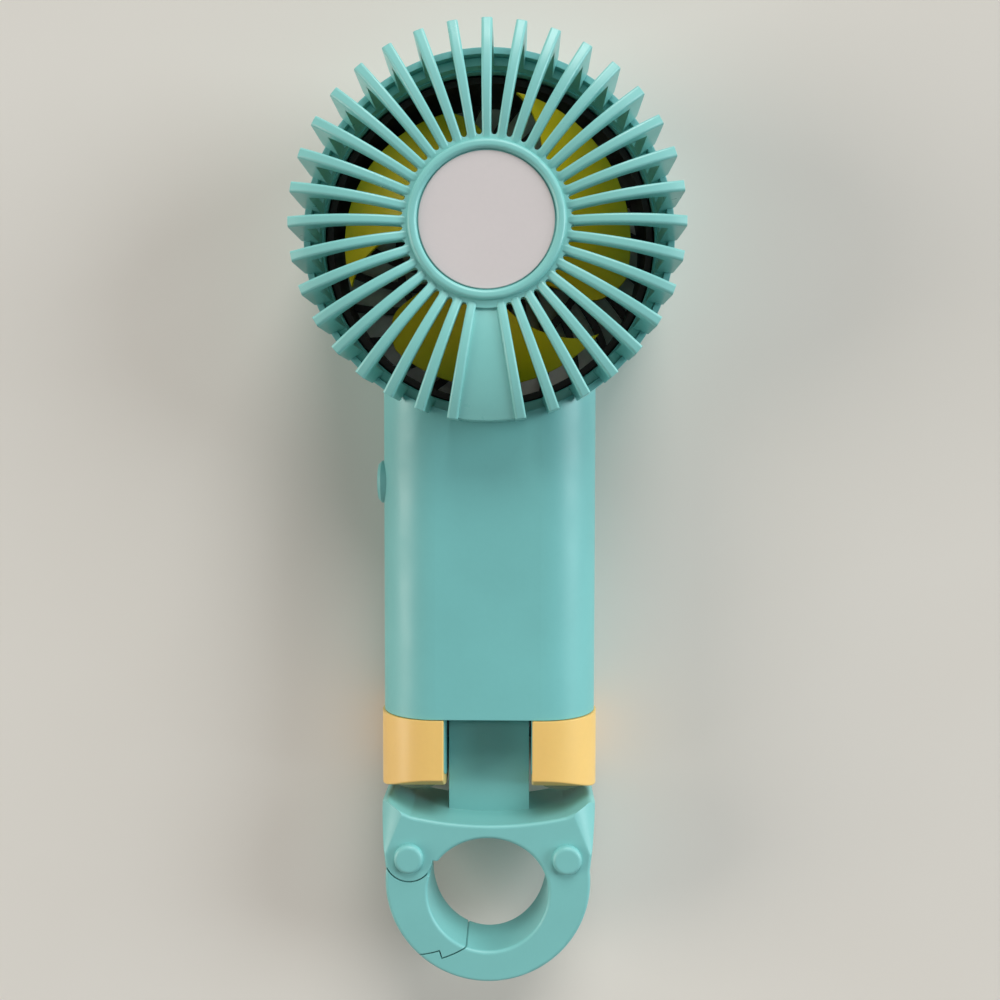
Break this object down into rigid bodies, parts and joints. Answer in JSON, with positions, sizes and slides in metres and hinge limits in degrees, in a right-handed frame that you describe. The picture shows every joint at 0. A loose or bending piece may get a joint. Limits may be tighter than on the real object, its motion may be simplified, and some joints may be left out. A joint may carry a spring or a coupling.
{
  "type": "handheld fan",
  "caption": "Handheld rechargeable fan with a radial-finned back guard, flat handle and a folding ring foot with a swing gate.",
  "frame": {"origin": "below the middle of the whole object, on the plane its front lies on", "axes": "+Y along the handle towards the fan head, +Z out of the back guard, +X to the right as the back is looked at"},
  "size_m": [0.0776, 0.1956, 0.038],
  "materials": {
    "teal_plastic": "satin",
    "yellow_plastic": "satin",
    "blade_plastic": "satin",
    "black_plastic": "satin",
    "label_film": "matte",
    "grey_rubber": "matte",
    "silver_disc": "satin",
    "screw_steel": "satin",
    "motor_steel": "satin",
    "socket_steel": "satin",
    "bush_brass": "satin",
    "magnet_ferrite": "matte",
    "foam_pad": "matte",
    "cell_foil": "satin",
    "board_resin": "matte",
    "clear_lens": "polished"
  },
  "bodies": {
    "body": {"back_shell": "teal_plastic", "front_shell": "teal_plastic", "back_guard": "teal_plastic", "label_plate": "label_film", "front_grille": "black_plastic", "front_badge": "silver_disc", "motor_can": "motor_steel", "motor_end_cap": "black_plastic", "motor_bushes": "bush_brass", "motor_magnets": "magnet_ferrite", "motor_clamp": "motor_steel", "clamp_screws": "screw_steel", "battery_pad": "foam_pad", "battery_cell": "cell_foil", "circuit_board": "board_resin", "board_screws": "screw_steel", "button_switch": "black_plastic", "charging_socket": "socket_steel", "indicator_lens": "clear_lens", "shell_screws": "screw_steel", "hinge_frame": "teal_plastic", "hinge_pin": "screw_steel", "hinge_washers": "foam_pad", "left_arm_cap": "yellow_plastic", "right_arm_cap": "yellow_plastic", "left_foot": "grey_rubber", "right_foot": "grey_rubber"},
    "rotor": {"fan_rotor": "blade_plastic", "motor_shaft": "screw_steel", "armature": "magnet_ferrite"},
    "button": {"power_button": "teal_plastic", "switch_plunger": "black_plastic"},
    "ring": {"ring_body": "teal_plastic", "gate_pin": "teal_plastic", "ring_knob": "teal_plastic", "gate_spring": "screw_steel"},
    "gate": {"ring_gate": "teal_plastic"}
  },
  "joints": [
    {"name": "fan_spin", "type": "hinge", "parent": "body", "child": "rotor", "pos_m": [0, 0.059, 0.0136], "axis": [0, 0, 1], "continuous": true},
    {"name": "button_press", "type": "slide", "parent": "body", "child": "button", "axis": [1, 0, 0], "range_m": [0, 0.0005], "stiffness_N_per_m": 2500, "springref_m": -0.0003},
    {"name": "ring_fold", "type": "hinge", "parent": "body", "child": "ring", "pos_m": [0, -0.04555, 0.0122], "axis": [1, 0, 0], "range_deg": [0, 90]},
    {"name": "gate_open", "type": "hinge", "parent": "ring", "child": "gate", "pos_m": [-0.01665, -0.0712, 0.0175], "axis": [0, 0, 1], "range_deg": [0, 32], "stiffness_Nm_per_rad": 0.02, "springref_deg": -20.05}
  ]
}
